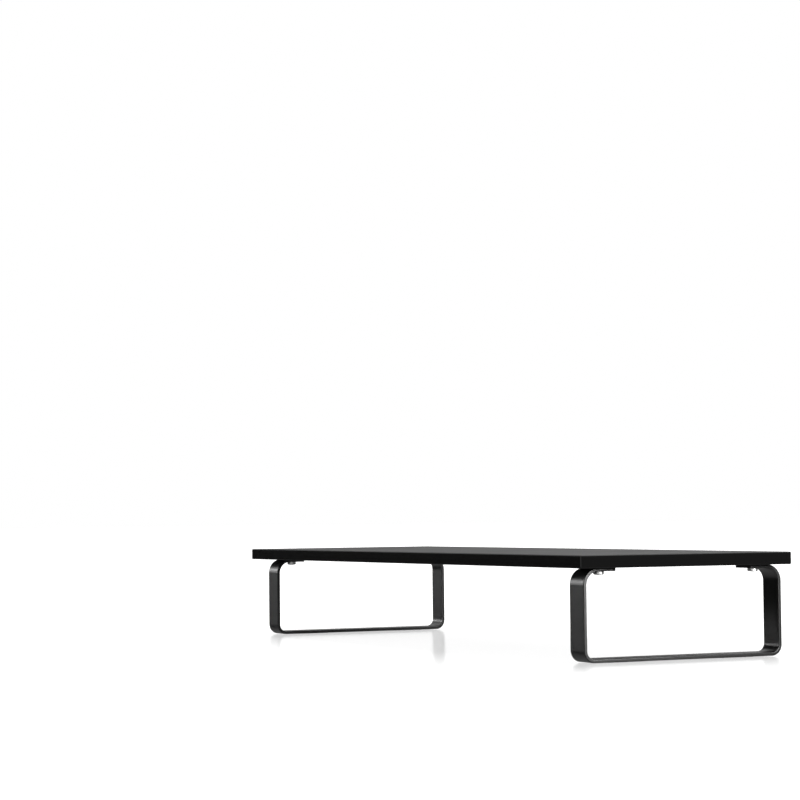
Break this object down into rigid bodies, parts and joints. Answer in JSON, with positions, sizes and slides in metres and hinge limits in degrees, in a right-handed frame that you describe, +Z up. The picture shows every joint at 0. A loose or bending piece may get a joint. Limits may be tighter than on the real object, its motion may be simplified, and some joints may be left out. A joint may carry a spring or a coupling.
{
  "type": "monitor riser",
  "caption": "Fixed monitor riser: a flat rectangular faced board screwed onto open-topped loops of bent flat steel bar, with clear space beneath for a keyboard.",
  "frame": {"origin": "on the desk surface, under the middle of the board", "axes": "+X along the board's long side, +Y to the back, +Z up"},
  "size_m": [0.75, 0.235, 0.1],
  "materials": {
    "fibreboard": "raw medium-density fibreboard",
    "black_laminate": "fine-textured black laminate",
    "edge_band": "black edge banding, softly rounded arris",
    "leg_coat": "fine-textured satin black powder coat on steel bar",
    "insert_metal": "plain turned brass",
    "screw_metal": "bright nickel plate",
    "clear_pad": "soft clear polyurethane, 0.5 mm thick"
  },
  "bodies": {
    "root": {"board_core": "fibreboard", "top_laminate": "black_laminate", "bottom_laminate": "black_laminate", "edge_band_front": "edge_band", "edge_band_back": "edge_band", "edge_band_left": "edge_band", "edge_band_right": "edge_band", "left_leg": "leg_coat", "right_leg": "leg_coat", "left_front_insert": "insert_metal", "left_front_screw": "screw_metal", "left_front_pad": "clear_pad", "left_back_insert": "insert_metal", "left_back_screw": "screw_metal", "left_back_pad": "clear_pad", "right_front_insert": "insert_metal", "right_front_screw": "screw_metal", "right_front_pad": "clear_pad", "right_back_insert": "insert_metal", "right_back_screw": "screw_metal", "right_back_pad": "clear_pad"}
  },
  "joints": []
}
